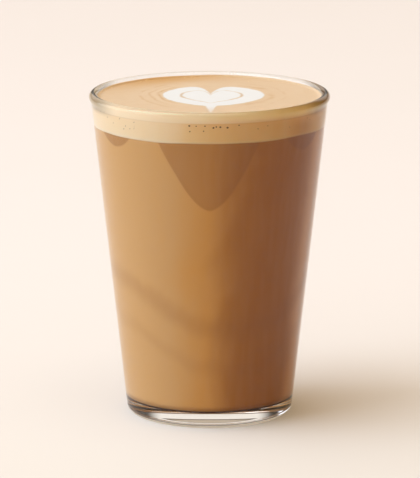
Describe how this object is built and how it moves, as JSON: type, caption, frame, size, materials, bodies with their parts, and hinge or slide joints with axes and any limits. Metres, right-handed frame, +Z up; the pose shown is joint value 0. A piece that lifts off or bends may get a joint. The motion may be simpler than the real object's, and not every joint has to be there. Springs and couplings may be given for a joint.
{
  "type": "flat white coffee in a glass",
  "caption": "Flat white in a tapered glass tumbler: espresso and milk under a layer of microfoam, with a heart poured into the crema on top",
  "frame": {"origin": "centre of the foot ring's plane, where the glass stands", "axes": "+Z up along the glass's axis, +Y away from the drinker towards the heart's cleft, +X to the right"},
  "size_m": [0.083, 0.083, 0.113],
  "materials": {
    "glass": "clear soda-lime glass, fire-polished rim",
    "coffee": "milky coffee, opaque, seen through the glass",
    "crema": "tan microfoam tinted by crema, satin",
    "milk_foam": "white steamed milk foam, satin"
  },
  "bodies": {
    "root": {"glass": "glass", "coffee": "coffee", "foam": "crema", "heart_ring": "milk_foam", "heart": "milk_foam"}
  },
  "joints": []
}
